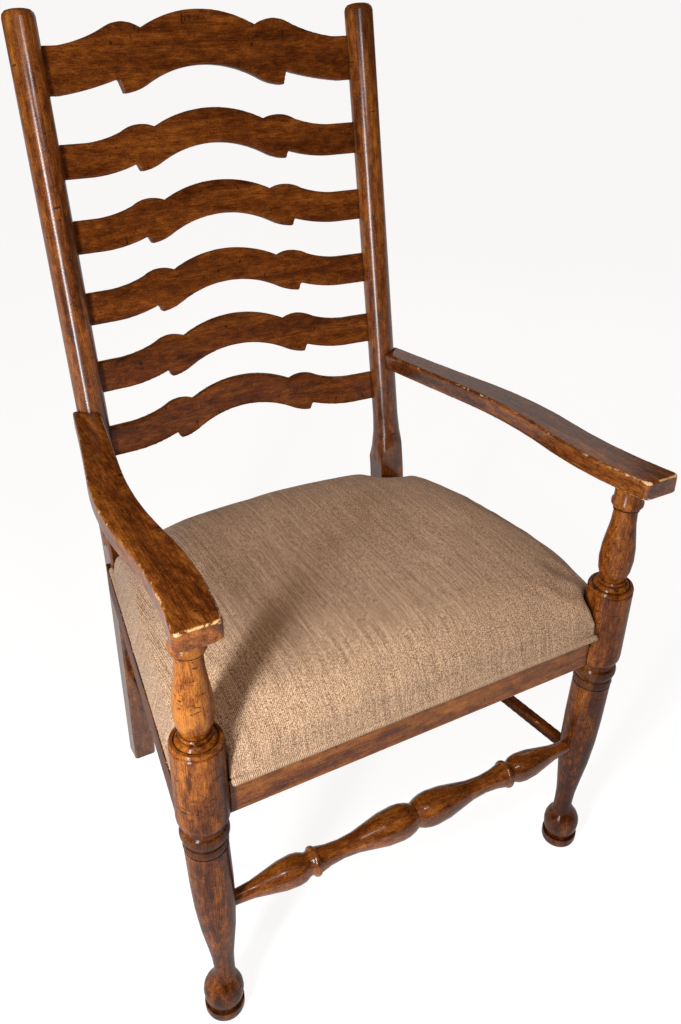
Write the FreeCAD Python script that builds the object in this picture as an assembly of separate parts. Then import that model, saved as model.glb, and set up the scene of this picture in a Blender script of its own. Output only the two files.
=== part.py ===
"""Ladder back armchair: turned front legs, raked back posts, six shaped slats, a slip seat.

Millimetres, +Z up, +Y towards the back, left and right as seen from the front.
Pieces are drawn with the front leg axes on y = 0 and the floor on z = 0, and moved at the end
so that the origin is the middle of the chair's footprint on the floor.
"""
import FreeCAD, Part
import math
import os

V = FreeCAD.Vector
UP = V(0, 0, 1)
DOWN = V(0, 0, -1)
MIDDLE = V(0, 0, 0)
ACROSS = V(1, 0, 0)

# Overall layout
front_leg_spacing = 584.0
back_post_spacing = 471.4
post_setback = 460.0
bend_height = 440.0
post_rake = 11.1
rear_leg_rake = 4.55

# Back posts: square rear leg, lamb's tongue, round post with a domed top
post_diameter = 40.5
post_length = 711.0
post_dome = 8.0
post_top_radius = 6.0
rear_leg_width = 42.0
rear_leg_depth = 43.0
rear_leg_inset = 4.0
rear_foot_width = 35.0
rear_foot_depth = 34.0
rear_leg_bend_radius = 260.0
rear_leg_chamfer = 3.0
tongue_start = 35.0
tongue_length = 78.0

# Turned pieces: arcs are turned as short tapers, none further than this from the arc
turning_tolerance = 0.4

# Front legs: foot, heights above the floor
foot_radius = 26.0
foot_pad_height = 19.0
foot_pad_rounding = 9.0
foot_groove_depth = 3.5
foot_groove_width = 2.5
foot_ball_radius = 26.2
foot_ball_height = 42.0
foot_ball_share = 0.45
foot_inset = 5.7

# Front legs: shin, turned on a second centre so that the ankle stands inside the drum's line
ankle_radius = 13.4
ankle_height = 88.0
ankle_inset = 9.0
shin_radius = 26.2
knee_height = 262.0
shin_share = 0.25
lower_bead_bottom = 328.0
lower_bead_height = 12.0
lower_bead_bulge = 1.4

# Front legs: ring, drum and collar
groove_radius = 24.8
groove_width = 1.6
upper_bead_height = 24.0
upper_bead_bulge = 3.4
drum_radius = 31.0
drum_top_radius = 30.0
drum_height = 119.0
drum_rounding = 15.0
collar_radius = 30.0
collar_height = 7.0
collar_bulge = 1.4
collar_lip_width = 5.0
collar_groove_depth = 1.2
dome_radius = 23.6
dome_height = 6.0
ring_radius = 17.0
ring_height = 5.0
ring_bulge = 1.6

# Front legs: vase-shaped arm support and capital
vase_base_radius = 16.0
vase_belly_radius = 22.3
vase_belly_height = 31.0
vase_share = 0.5
vase_neck_radius = 15.0
neck_ring_height = 4.0
neck_ring_bulge = 1.8
capital_bead_height = 11.0
capital_bead_bulge = 2.4
capital_radius = 18.0
capital_height = 22.0
leg_tenon_radius = 11.0
leg_tenon_length = 15.0

# Arms: stations behind the leg axis, each with its middle line and its width
arm_height = 675.0
arm_drop = 17.0
arm_thickness = 25.0
arm_front_overhang = 46.0
arm_front_outset = 3.5
arm_front_width = 52.0
arm_lead_in = 12.0
arm_middle_setback = 132.0
arm_middle_inset = 6.5
arm_middle_width = 50.0
arm_taper_setback = 308.0
arm_taper_inset = 14.0
arm_taper_width = 43.5
arm_rear_outset = 9.5
arm_rear_width = 36.0
arm_corner_radius = 7.0
arm_edge_chamfer = 2.0
arm_dowel_radius = 5.0
arm_dowel_length = 44.0

# Ladder slats: five alike and a taller crest slat, heights along the post
slat_count = 5
first_slat_height = 143.0
slat_pitch = 93.5
slat_thickness = 13.0
slat_bow_radius = 1730.0
slat_tenon = 15.0
slat_end_height = 42.5
slat_arch_top = 75.7
slat_valley_offset = 80.0
slat_valley_height = 56.2
slat_ear_offset = 103.0
slat_ear_height = 60.8
slat_ear_foot_offset = 126.0
slat_ear_foot_height = 53.5
slat_sweep_offset = 150.0
slat_sweep_height = 46.2
slat_shoulder_offset = 178.0
slat_arch_bottom = 30.5
slat_arch_end_offset = 77.0
slat_arch_end_height = 11.0
slat_hook_curve_offset = 91.0
slat_hook_curve_height = 5.0
slat_hook_offset = 108.0
slat_hook_height = 1.8
slat_notch_offset = 112.0
slat_notch_height = 12.0
slat_belly_offset = 136.0
slat_belly_height = 5.0
slat_flat_offset = 174.0
crest_gap = 5.6
crest_end_height = 57.0
crest_arch_top = 96.2
crest_valley_offset = 81.0
crest_valley_height = 75.2
crest_ear_offset = 106.0
crest_ear_height = 83.0
crest_ear_foot_offset = 131.0
crest_ear_foot_height = 76.5
crest_sweep_offset = 160.0
crest_sweep_height = 65.0
crest_shoulder_offset = 196.0
crest_arch_bottom = 29.5
crest_arch_end_offset = 83.0
crest_arch_end_height = 7.4
crest_hook_curve_offset = 98.0
crest_hook_curve_height = 1.6
crest_hook_offset = 115.0
crest_hook_height = -1.0
crest_notch_offset = 120.5
crest_notch_height = 16.5
crest_belly_offset = 150.0
crest_belly_height = 8.6
crest_flat_offset = 200.0

# Seat frame
rail_bottom = 372.0
rail_height = 52.0
rail_thickness = 22.0
rail_tenon_thickness = 9.0
rail_tenon_shoulder = 6.0
rail_tenon_length = 18.0
side_rail_front_outset = 18.0
side_rail_rear_outset = 10.0
back_rail_forward = 7.0

# Stretchers
front_stretcher_height = 210.0
stretcher_end_radius = 9.5
stretcher_bulb_radius = 20.5
stretcher_bulb_offset = 180.0
stretcher_bulb_share = 0.45
stretcher_groove_radius = 15.5
stretcher_groove_offset = 161.0
stretcher_groove_width = 3.0
stretcher_ring_radius = 18.3
stretcher_ring_offset = 152.0
stretcher_waist_radius = 12.6
stretcher_waist_offset = 113.0
stretcher_vase_radius = 24.0
stretcher_vase_offset = 27.0
stretcher_vase_share = 0.5
stretcher_centre_radius = 17.0
stretcher_tenon_radius = 8.0
stretcher_tenon_length = 16.0
bar_height = 16.0
bar_thickness = 14.0
bar_level = 188.0
bar_rear_inset = 8.0
bar_tenon_height = 10.0
bar_tenon_thickness = 8.0
bar_tenon_length = 16.0

# Corner blocks and screws
block_reach = 100.0
block_relief = 9.0
block_height = 32.0
block_drop = 4.0
block_screw_offset = 62.0
block_seat_screw_offset = 36.0
screw_sides = 8
screw_radius = 2.2
screw_head_radius = 4.5
screw_head_height = 3.0
screw_length = 50.0
screw_grip = 15.0
screw_stagger = 7.0
seat_screw_length = 46.0

# Slip seat: board, foam, cover, welts and dust cover
seat_front_overhang = 22.0
seat_side_inset = 2.5
seat_rear_gap = 2.0
seat_drum_gap = 1.0
seat_post_gap = 9.0
seat_corner_radius = 4.0
seat_corner_softening = 0.1
seat_corner_draw = 40.0
seat_side_bow = 24.0
seat_side_flats = 4
seat_notch_flats = 3
seat_tuck = 9.0
seat_edge_height = 24.0
seat_crown_inset = 130.0
seat_crown_steps = 6
seat_height = 82.0
cover_thickness = 2.0
cover_return = 32.0
board_thickness = 12.0
board_edge_gap = 1.0
dust_cover_thickness = 0.8
dust_cover_gap = 0.6
welt_radius = 4.4
welt_inset = 3.0
welt_end_gap = 4.0

# Values worked out from the driving dimensions
half_legs = front_leg_spacing / 2
half_posts = back_post_spacing / 2
post_radius = post_diameter / 2
rake_slope = math.tan(math.radians(post_rake))
rear_leg_slope = math.tan(math.radians(rear_leg_rake))
rail_top = rail_bottom + rail_height
rail_middle = rail_bottom + rail_height / 2
groove_level = lower_bead_bottom + lower_bead_height
drum_bottom = groove_level + groove_width + upper_bead_height + groove_width
drum_top = drum_bottom + drum_height
arm_slope = arm_drop / (post_setback + arm_front_overhang)
arm_underside = arm_height - arm_thickness - arm_slope * arm_front_overhang
arm_tilt = math.degrees(math.atan(arm_slope))
cover_bottom = rail_top
board_bottom = cover_bottom + cover_thickness
block_top = rail_top - block_drop
board_inset = seat_tuck + cover_thickness + board_edge_gap
seat_rear = post_setback - seat_rear_gap


def rear_leg_y(height):
    """Middle of the rear leg or post, front to back, at a height above the floor."""
    if height < bend_height:
        return post_setback + (bend_height - height) * rear_leg_slope
    return post_setback + (height - bend_height) * rake_slope


def shin_inset(height):
    """How far the shin's own axis stands inside the drum's axis at a height."""
    return ankle_inset * (groove_level - height) / (groove_level - ankle_height)


def segment(start, end):
    return Part.LineSegment(start, end).toShape()


def arc(start, middle, end):
    return Part.Arc(start, middle, end).toShape()


def bend(start, heading, end):
    """Middle of the arc that leaves a point along a heading and reaches another, and its last heading."""
    chord = end - start
    run = V(chord).normalize()
    middle_run = (heading + run).normalize()
    middle = start + middle_run * (chord.Length / 2 / middle_run.dot(run))
    return middle, run * (2 * heading.dot(run)) - heading


def tangent_path(points, heading):
    """Chain of arcs through points, each leaving along the heading that the last one ends with."""
    edges = []
    for start, end in zip(points, points[1:]):
        middle, heading = bend(start, heading, end)
        edges.append(arc(start, middle, end))
    return edges


def mirrored(shape):
    return shape.mirror(MIDDLE, ACROSS)


def rod(start, end, radius):
    axis = end - start
    return Part.makeCylinder(radius, axis.Length, start, axis)


class Turning:
    """A lathe profile drawn upwards as radius and height, then spun about the vertical axis."""

    def __init__(self, radius, height):
        self.points = [V(radius, 0, height)]

    def line_to(self, radius, height):
        self.points.append(V(radius, 0, height))

    def arc_to(self, middle, end):
        curve = arc(self.points[-1], middle, end)
        radius = curve.Curve.Radius
        turn = 2 * math.acos(1 - turning_tolerance / radius)
        tapers = math.ceil(curve.Length / radius / turn)
        self.points += curve.discretize(tapers + 1)[1:]

    def bead_to(self, height, bulge):
        pen = self.points[-1]
        self.arc_to(V(pen.x + bulge, 0, (pen.z + height) / 2), V(pen.x, 0, height))

    def round_to(self, radius, height):
        """Arc that leaves upright."""
        end = V(radius, 0, height)
        self.arc_to(bend(self.points[-1], UP, end)[0], end)

    def swell_to(self, radius, height):
        """Arc that arrives upright."""
        end = V(radius, 0, height)
        self.arc_to(bend(end, DOWN, self.points[-1])[0], end)

    def ogee_to(self, radius, height, share):
        """Two arcs, upright at both ends, that meet at a share of the way."""
        pen = self.points[-1]
        joint = pen + (V(radius, 0, height) - pen) * share
        self.round_to(joint.x, joint.z)
        self.swell_to(radius, height)

    def solid(self):
        bottom = V(0, 0, self.points[0].z)
        top = V(0, 0, self.points[-1].z)
        outline = Part.makePolygon([bottom] + self.points + [top, bottom])
        return Part.Face(outline).revolve(MIDDLE, UP, 360)


def in_post_frame(shape):
    """Lean a shape drawn upright about the bend back to the rake of the posts."""
    leaned = shape.copy()
    leaned.rotate(MIDDLE, ACROSS, -post_rake)
    leaned.translate(V(0, post_setback, bend_height))
    return leaned


def rounded_corner(before, corner, after, radius):
    """Tangent arc at the corner of two straight runs: start, middle and end points."""
    into = (before - corner).normalize()
    out = (after - corner).normalize()
    half_turn = into.getAngle(out) / 2
    reach = radius / math.tan(half_turn)
    bisector = (into + out).normalize()
    centre = corner + bisector * (radius / math.sin(half_turn))
    return corner + into * reach, centre - bisector * radius, corner + out * reach


def back_post():
    """Right post: a bandsawn square leg with a bend, running out into a raked round post."""
    square_top = bend_height + (tongue_start + tongue_length) * math.cos(math.radians(post_rake))

    def edge_points(foot_half, leg_half):
        foot = V(0, rear_leg_y(0) + foot_half, 0)
        bend = V(0, post_setback + leg_half, bend_height)
        top = V(0, rear_leg_y(square_top) + leg_half, square_top)
        return foot, bend, top

    front = edge_points(-rear_foot_depth / 2, -rear_leg_depth / 2)
    back = edge_points(rear_foot_depth / 2, rear_leg_depth / 2)
    front_bend = rounded_corner(*front, rear_leg_bend_radius)
    back_bend = rounded_corner(*back, rear_leg_bend_radius)
    side = Part.Wire([
        segment(front[0], front_bend[0]),
        arc(*front_bend),
        segment(front_bend[2], front[2]),
        segment(front[2], back[2]),
        segment(back[2], back_bend[2]),
        arc(*reversed(back_bend)),
        segment(back_bend[0], back[0]),
        segment(back[0], front[0]),
    ])
    plank = Part.Face(side).extrude(V(rear_leg_width, 0, 0))
    leg_x = half_posts - rear_leg_inset
    plank.translate(V(leg_x - rear_leg_width / 2, 0, 0))

    narrow = rear_foot_width / 2
    wide = rear_leg_width / 2
    taper = Part.makePolygon([
        V(leg_x - narrow, 0, 0),
        V(leg_x + narrow, 0, 0),
        V(leg_x + wide, 0, bend_height),
        V(leg_x + wide, 0, square_top),
        V(leg_x - wide, 0, square_top),
        V(leg_x - wide, 0, bend_height),
        V(leg_x - narrow, 0, 0),
    ])
    square = plank.common(Part.Face(taper).extrude(V(0, 2 * post_setback, 0)))
    arrises = [edge for edge in square.Edges if edge.BoundBox.ZLength > rear_leg_width]
    arrises += [edge for edge in square.Edges if edge.Curve.TypeId == "Part::GeomCircle"]
    square = square.makeChamfer(rear_leg_chamfer, unique_edges(arrises))

    corner = math.hypot(rear_leg_width / 2 + rear_leg_inset, rear_leg_depth / 2)
    wide_clear = 2 * post_setback
    funnel = Turning(wide_clear, -2 * bend_height)
    funnel.line_to(wide_clear, tongue_start)
    funnel.line_to(corner, tongue_start)
    funnel.swell_to(post_radius, tongue_start + tongue_length)
    square = square.common(along_post(funnel.solid()))

    shaft = Turning(post_radius, tongue_start / 2)
    shaft.line_to(post_radius, post_length - post_dome)
    shaft.round_to(post_top_radius, post_length)
    return square.fuse(along_post(shaft.solid())).removeSplitter()


def along_post(shape):
    """Set a shape drawn about a vertical axis on the axis of the right post."""
    placed = shape.copy()
    placed.translate(V(half_posts, 0, 0))
    return in_post_frame(placed)


def unique_edges(edges):
    found = []
    for edge in edges:
        if not any(edge.isSame(other) for other in found):
            found.append(edge)
    return found


def front_foot():
    """Flat pad and ball, with a groove between them."""
    foot = Turning(foot_radius - foot_pad_rounding, 0)
    foot.swell_to(foot_radius, foot_pad_rounding)
    foot.line_to(foot_radius, foot_pad_height)
    foot.line_to(foot_radius - foot_groove_depth, foot_pad_height)
    foot.line_to(foot_radius - foot_groove_depth, foot_pad_height + foot_groove_width)
    foot.swell_to(foot_ball_radius, foot_ball_height)
    neck_radius = ankle_radius - shin_inset(ankle_height) + foot_inset
    foot.ogee_to(neck_radius, ankle_height, foot_ball_share)
    return foot.solid().translate(V(half_legs - foot_inset, 0, 0))


def front_shin():
    """Tapering shin with its bead, leaned inwards on its own centre."""
    shin = Turning(ankle_radius, foot_ball_height)
    shin.line_to(ankle_radius, ankle_height)
    shin.ogee_to(shin_radius, knee_height, shin_share)
    shin.line_to(shin_radius, lower_bead_bottom)
    shin.line_to(shin_radius - lower_bead_bulge / 2, lower_bead_bottom)
    shin.bead_to(groove_level, lower_bead_bulge)
    shin.line_to(groove_radius, groove_level)
    shin.line_to(groove_radius, groove_level + groove_width + upper_bead_height / 4)
    solid = shin.solid()
    lean = math.degrees(math.atan(ankle_inset / (groove_level - ankle_height)))
    solid.rotate(V(0, 0, groove_level), V(0, 1, 0), lean)
    return solid.translate(V(half_legs, 0, 0))


def leg_upper():
    """Ring, drum, collar, vase-shaped arm support and capital, one turning."""
    upper = Turning(groove_radius, groove_level)
    bead_bottom = groove_level + groove_width
    upper.line_to(groove_radius, bead_bottom)
    upper.bead_to(bead_bottom + upper_bead_height, upper_bead_bulge)
    upper.line_to(groove_radius, drum_bottom)
    upper.swell_to(drum_radius, drum_bottom + drum_rounding)
    upper.line_to(drum_top_radius, drum_top)
    upper.line_to(collar_radius - collar_bulge, drum_top + groove_width)
    collar_top = drum_top + groove_width + collar_height
    upper.bead_to(collar_top, collar_bulge)
    lip = collar_radius - collar_lip_width
    upper.line_to(lip, collar_top)
    upper.line_to(lip, collar_top - collar_groove_depth)
    upper.line_to(dome_radius, collar_top - collar_groove_depth)
    ring_bottom = collar_top - collar_groove_depth + dome_height
    upper.round_to(ring_radius, ring_bottom)
    ring_top = ring_bottom + ring_height
    upper.bead_to(ring_top, ring_bulge)
    upper.line_to(vase_base_radius, ring_top)
    neck_ring_top = arm_underside - capital_height - capital_bead_height - groove_width
    neck_level = neck_ring_top - neck_ring_height
    upper.swell_to(vase_belly_radius, ring_top + vase_belly_height)
    upper.ogee_to(vase_neck_radius, neck_level, vase_share)
    upper.bead_to(neck_ring_top, neck_ring_bulge)
    upper.line_to(vase_neck_radius, neck_ring_top + groove_width)
    upper.line_to(capital_radius, neck_ring_top + groove_width)
    upper.bead_to(arm_underside - capital_height, capital_bead_bulge)
    upper.line_to(capital_radius, arm_underside + arm_thickness / 4)
    return upper.solid().translate(V(half_legs, 0, 0))


def front_leg_blank():
    return leg_upper().fuse(front_shin()).fuse(front_foot()).removeSplitter()


def leg_tenon():
    start = V(half_legs, 0, arm_underside - capital_height / 2)
    end = V(half_legs, 0, arm_underside + leg_tenon_length)
    return rod(start, end, leg_tenon_radius)


def arm_blank():
    """Right arm: a flat board with waisted, swelling sides and softened edges."""
    post_front = rear_leg_y(arm_height - arm_drop - arm_thickness / 2)
    stations = [
        (-arm_front_overhang, half_legs + arm_front_outset, arm_front_width),
        (arm_middle_setback, half_legs - arm_middle_inset, arm_middle_width),
        (arm_taper_setback, half_legs - arm_taper_inset, arm_taper_width),
        (post_front, half_posts + arm_rear_outset, arm_rear_width),
    ]
    inner = [V(middle - width / 2, setback, 0) for setback, middle, width in stations]
    outer = [V(middle + width / 2, setback, 0) for setback, middle, width in stations]
    lead_in = math.radians(arm_lead_in)
    heading = V(-math.sin(lead_in), math.cos(lead_in), 0)
    rear_end = segment(inner[-1], outer[-1])
    front_end = segment(outer[0], inner[0])
    outer_side = tangent_path(outer, heading)
    plan = Part.Wire(tangent_path(inner, heading) + [rear_end] + outer_side[::-1] + [front_end])
    board = Part.Face(plan).extrude(V(0, 0, arm_thickness))
    front_corners = [edge for edge in board.Edges if upright_at(edge, -arm_front_overhang)]
    board = board.makeFillet(arm_corner_radius, front_corners)
    long_edges = [edge for edge in board.Edges if level_edge(edge) and not lies_at(edge, post_front)]
    board = board.makeChamfer(arm_edge_chamfer, long_edges)
    board.translate(V(0, arm_front_overhang, arm_height - arm_thickness))
    board.rotate(V(0, 0, arm_height), ACROSS, -arm_tilt)
    return board.translate(V(0, -arm_front_overhang, 0))


def upright_at(edge, y):
    bounds = edge.BoundBox
    return bounds.ZLength > arm_thickness / 2 and abs(bounds.Center.y - y) < arm_edge_chamfer


def level_edge(edge):
    return edge.BoundBox.ZLength < arm_edge_chamfer


def lies_at(edge, y):
    bounds = edge.BoundBox
    return bounds.YLength < arm_edge_chamfer and abs(bounds.Center.y - y) < arm_edge_chamfer


def arm_dowel():
    level = arm_height - arm_thickness / 2 - arm_slope * (post_setback + arm_front_overhang)
    face = rear_leg_y(level) - post_radius
    half = arm_dowel_length / 2
    middle = half_posts + arm_rear_outset / 2
    return rod(V(middle, face - half, level), V(middle, face + half, level), arm_dowel_radius)


def slat_outline(end_height, arch_top, valley, ear, ear_foot, sweep, shoulder,
                 arch_bottom, arch_end, hook_curve, hook, notch, belly, flat):
    """Front view of a slat, each point as offset from the middle and height above its end's bottom."""
    end = half_posts - post_radius + slat_tenon

    def at(point, side=1):
        return V(side * point[0], 0, point[1])

    def half(side):
        return [
            arc(at(valley, side), at(ear, side), at(ear_foot, side)),
            arc(at(ear_foot, side), at(sweep, side), at((shoulder, end_height), side)),
            segment(at((shoulder, end_height), side), at((end, end_height), side)),
            segment(at((end, end_height), side), at((end, 0), side)),
            segment(at((end, 0), side), at((flat, 0), side)),
            arc(at((flat, 0), side), at(belly, side), at(notch, side)),
            segment(at(notch, side), at(hook, side)),
            arc(at(hook, side), at(hook_curve, side), at(arch_end, side)),
        ]

    top = arc(at(valley, -1), at((0, arch_top)), at(valley))
    bottom = arc(at(arch_end), at((0, arch_bottom)), at(arch_end, -1))
    edges = [top] + half(1) + [bottom] + half(-1)
    return Part.Wire(Part.__sortEdges__(edges))


def bowed_slat(outline, height):
    """Cut the outline from a board bowed back between the posts."""
    deep = slat_bow_radius / 4
    sag = slat_bow_radius - math.sqrt(slat_bow_radius ** 2 - half_posts ** 2)
    prism = Part.Face(outline).extrude(V(0, 2 * deep, 0))
    prism.translate(V(0, -deep, 0))
    centre = V(0, sag - slat_bow_radius, -deep)
    outer = Part.makeCylinder(slat_bow_radius + slat_thickness, 2 * deep, centre, UP)
    inner = Part.makeCylinder(slat_bow_radius, 2 * deep, centre, UP)
    slat = prism.common(outer.cut(inner))
    slat.translate(V(0, 0, height))
    return in_post_frame(slat)


def lower_slat(height):
    outline = slat_outline(
        slat_end_height, slat_arch_top,
        (slat_valley_offset, slat_valley_height), (slat_ear_offset, slat_ear_height),
        (slat_ear_foot_offset, slat_ear_foot_height), (slat_sweep_offset, slat_sweep_height),
        slat_shoulder_offset, slat_arch_bottom, (slat_arch_end_offset, slat_arch_end_height),
        (slat_hook_curve_offset, slat_hook_curve_height), (slat_hook_offset, slat_hook_height),
        (slat_notch_offset, slat_notch_height), (slat_belly_offset, slat_belly_height), slat_flat_offset)
    return bowed_slat(outline, height)


def crest_slat(height):
    outline = slat_outline(
        crest_end_height, crest_arch_top,
        (crest_valley_offset, crest_valley_height), (crest_ear_offset, crest_ear_height),
        (crest_ear_foot_offset, crest_ear_foot_height), (crest_sweep_offset, crest_sweep_height),
        crest_shoulder_offset, crest_arch_bottom, (crest_arch_end_offset, crest_arch_end_height),
        (crest_hook_curve_offset, crest_hook_curve_height), (crest_hook_offset, crest_hook_height),
        (crest_notch_offset, crest_notch_height), (crest_belly_offset, crest_belly_height), crest_flat_offset)
    return bowed_slat(outline, height)


def bar_between(start, end, thickness, bottom, height):
    """Upright board along a line in plan."""
    along = V(end.x - start.x, end.y - start.y, 0)
    bar = Part.makeBox(along.Length, thickness, height, V(0, -thickness / 2, bottom))
    bar.rotate(MIDDLE, UP, math.degrees(math.atan2(along.y, along.x)))
    return bar.translate(V(start.x, start.y, 0))


def trimmed_bar(start, end, supports, bar, tenon):
    """Board and its tenons between two supports: the board is coped, the tenons run on inside."""
    thickness, bottom, height = bar
    tenon_thickness, tenon_height, start_gap, end_gap = tenon
    along = V(end.x - start.x, end.y - start.y, 0).normalize()
    body = bar_between(start, end, thickness, bottom, height)
    for support in supports:
        body = body.cut(support)
    tongue = bar_between(start + along * start_gap, end - along * end_gap, tenon_thickness,
                         bottom + (height - tenon_height) / 2, tenon_height)
    return body.fuse(tongue).removeSplitter()


def turned_stretcher(leg_face):
    """Front stretcher: two long vases back to back, rings, bulbs and tapering ends."""
    half = Turning(stretcher_centre_radius, 0)
    half.swell_to(stretcher_vase_radius, stretcher_vase_offset)
    half.ogee_to(stretcher_waist_radius, stretcher_waist_offset, stretcher_vase_share)
    half.round_to(stretcher_ring_radius, stretcher_ring_offset)
    half.round_to(stretcher_groove_radius, stretcher_groove_offset - stretcher_groove_width / 2)
    half.line_to(stretcher_groove_radius, stretcher_groove_offset + stretcher_groove_width / 2)
    half.swell_to(stretcher_bulb_radius, stretcher_bulb_offset)
    half.ogee_to(stretcher_end_radius, leg_face, stretcher_bulb_share)
    half.line_to(stretcher_end_radius, leg_face + shin_radius / 2)
    half_solid = half.solid()
    half_solid.rotate(MIDDLE, V(0, 1, 0), 90)
    whole = half_solid.fuse(mirrored(half_solid))
    return whole.translate(V(0, 0, front_stretcher_height)).removeSplitter()


def side_rail_line():
    return V(half_legs + side_rail_front_outset, 0, 0), V(half_posts + side_rail_rear_outset, post_setback, 0)


def side_rail_inner(y):
    """Inner face of the right side rail in plan."""
    front, back = side_rail_line()
    run = back - front
    offset = rail_thickness / 2 * run.Length / run.y
    return front.x + run.x * (y - front.y) / run.y - offset


def corner_block(y_face, direction, relief):
    """Right-hand block in a corner of the seat frame, cut back by relief to clear the leg."""
    far = y_face + direction * block_reach
    near = y_face + direction * relief
    corner_x = side_rail_inner(y_face)
    plan = Part.makePolygon([
        V(corner_x - relief, y_face, 0),
        V(side_rail_inner(near), near, 0),
        V(side_rail_inner(far), far, 0),
        V(corner_x - block_reach, y_face, 0),
        V(corner_x - relief, y_face, 0),
    ])
    block = Part.Face(plan).extrude(V(0, 0, block_height))
    return block.translate(V(0, 0, block_top - block_height))


def screw_shaft(start, end, radius):
    """Prism along an axis: screws are drawn with few sides."""
    axis = end - start
    corners = [V(radius, 0, 0)]
    for step in range(screw_sides):
        turn = FreeCAD.Rotation(UP, 360 * (step + 1) / screw_sides)
        corners.append(turn.multVec(corners[0]))
    prism = Part.Face(Part.makePolygon(corners)).extrude(V(0, 0, axis.Length))
    prism.Placement = FreeCAD.Placement(start, FreeCAD.Rotation(UP, axis))
    return prism


def screw(point, direction, length):
    """Wood screw whose head starts at a point, with a plain shank."""
    head_end = point + direction * screw_head_height
    head = screw_shaft(point, head_end, screw_head_radius)
    return head.fuse(screw_shaft(head_end, point + direction * length, screw_radius))


def head_well(point, direction):
    """Straight way for a screw head from the open side of its block."""
    return screw_shaft(point - direction * block_reach, point, screw_head_radius)


def block_screws(y_face, direction):
    """Two screws of a right-hand block, one into each rail, as (head point, direction) pairs."""
    corner_x = side_rail_inner(y_face)
    far = y_face + direction * block_reach
    into_cross = V(0, -direction, 0)
    side_run = V(side_rail_inner(far) - corner_x, far - y_face, 0).normalize()
    into_side = V(abs(side_run.y), -side_run.x * math.copysign(1, side_run.y), 0)
    level = block_top - block_height / 2
    back_off = screw_length - screw_grip
    cross = V(corner_x - block_screw_offset, y_face, level - screw_stagger) - into_cross * back_off
    side = V(corner_x, y_face, level + screw_stagger) + side_run * block_screw_offset - into_side * back_off
    return [(cross, into_cross), (side, into_side)]


def seat_screw(y_face, direction):
    """Screw up through the middle of a right-hand block into the seat board."""
    corner_x = side_rail_inner(y_face)
    inwards = V(-block_seat_screw_offset, direction * block_seat_screw_offset, 0)
    return screw(V(corner_x, y_face, block_top - block_height) + inwards, UP, seat_screw_length)


def seat_sides(inset):
    """The four straight sides of the seat in plan, anticlockwise, as point and direction."""
    front, back = side_rail_line()
    run = (back - front).normalize()
    inward = V(-run.y, run.x, 0)
    edge = front - inward * (rail_thickness / 2 - seat_side_inset)
    left_run = V(run.x, -run.y, 0)
    return [
        (V(0, inset - seat_front_overhang, 0), V(1, 0, 0)),
        (edge + inward * inset, run),
        (V(0, seat_rear - inset, 0), V(-1, 0, 0)),
        (V(-(edge + inward * inset).x, (edge + inward * inset).y, 0), left_run),
    ]


def seat_notches(draw):
    """Round notches, widened by draw, that clear the drums and posts, in the order of the sides."""
    drum = drum_radius + seat_drum_gap + draw
    post = rear_leg_width / 2 + seat_post_gap + draw
    post_y = rear_leg_y(rail_top + seat_height / 2)
    return [
        (V(half_legs, 0, 0), drum),
        (V(half_posts, post_y, 0), post),
        (V(-half_posts, post_y, 0), post),
        (V(-half_legs, 0, 0), drum),
    ]


def corner_centre(side, notch, rounding, sign):
    """Centre of the arc that rounds a side into a notch; sign says which end of the side."""
    point, run = side
    centre, radius = notch
    inward = V(-run.y, run.x, 0)
    offset = point + inward * rounding - centre
    along = offset.dot(run)
    root = math.sqrt(along ** 2 - offset.dot(offset) + (radius + rounding) ** 2)
    return point + inward * rounding + run * (sign * root - along)


def seat_outline(inset, draw, bow, level):
    """Plan of the seat: sides drawn in by inset and bowed out by bow, notched corners drawn in by draw."""
    sides = seat_sides(inset)
    notches = seat_notches(draw)
    rounding = seat_corner_radius + inset * seat_corner_softening
    corners = []
    for index, notch in enumerate(notches):
        centre, radius = notch
        entering = corner_centre(sides[index], notches[index - 1], rounding, 1)
        following = sides[(index + 1) % len(sides)]
        leaving = corner_centre(sides[index], notch, rounding, -1)
        arriving = corner_centre(following, notch, rounding, 1)
        leave_run = sides[index][1]
        arrive_run = following[1]
        first = (leaving - centre).normalize() * radius
        last = (arriving - centre).normalize() * radius
        outward = V(leave_run.y, -leave_run.x, 0)
        for flat in range(1, seat_side_flats + 1):
            share = flat / seat_side_flats
            swelling = bow * 4 * share * (1 - share)
            corners.append(entering * (1 - share) + leaving * share + outward * (rounding + swelling))
        for share in range(seat_notch_flats + 1):
            heading = first * (seat_notch_flats - share) + last * share
            corners.append(centre + heading.normalize() * radius)
        corners.append(arriving - V(-arrive_run.y, arrive_run.x, 0) * rounding)
    return [corner + V(0, 0, level) for corner in corners]


def flat_face(corners):
    return Part.Face(Part.makePolygon(corners + corners[:1]))


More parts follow.
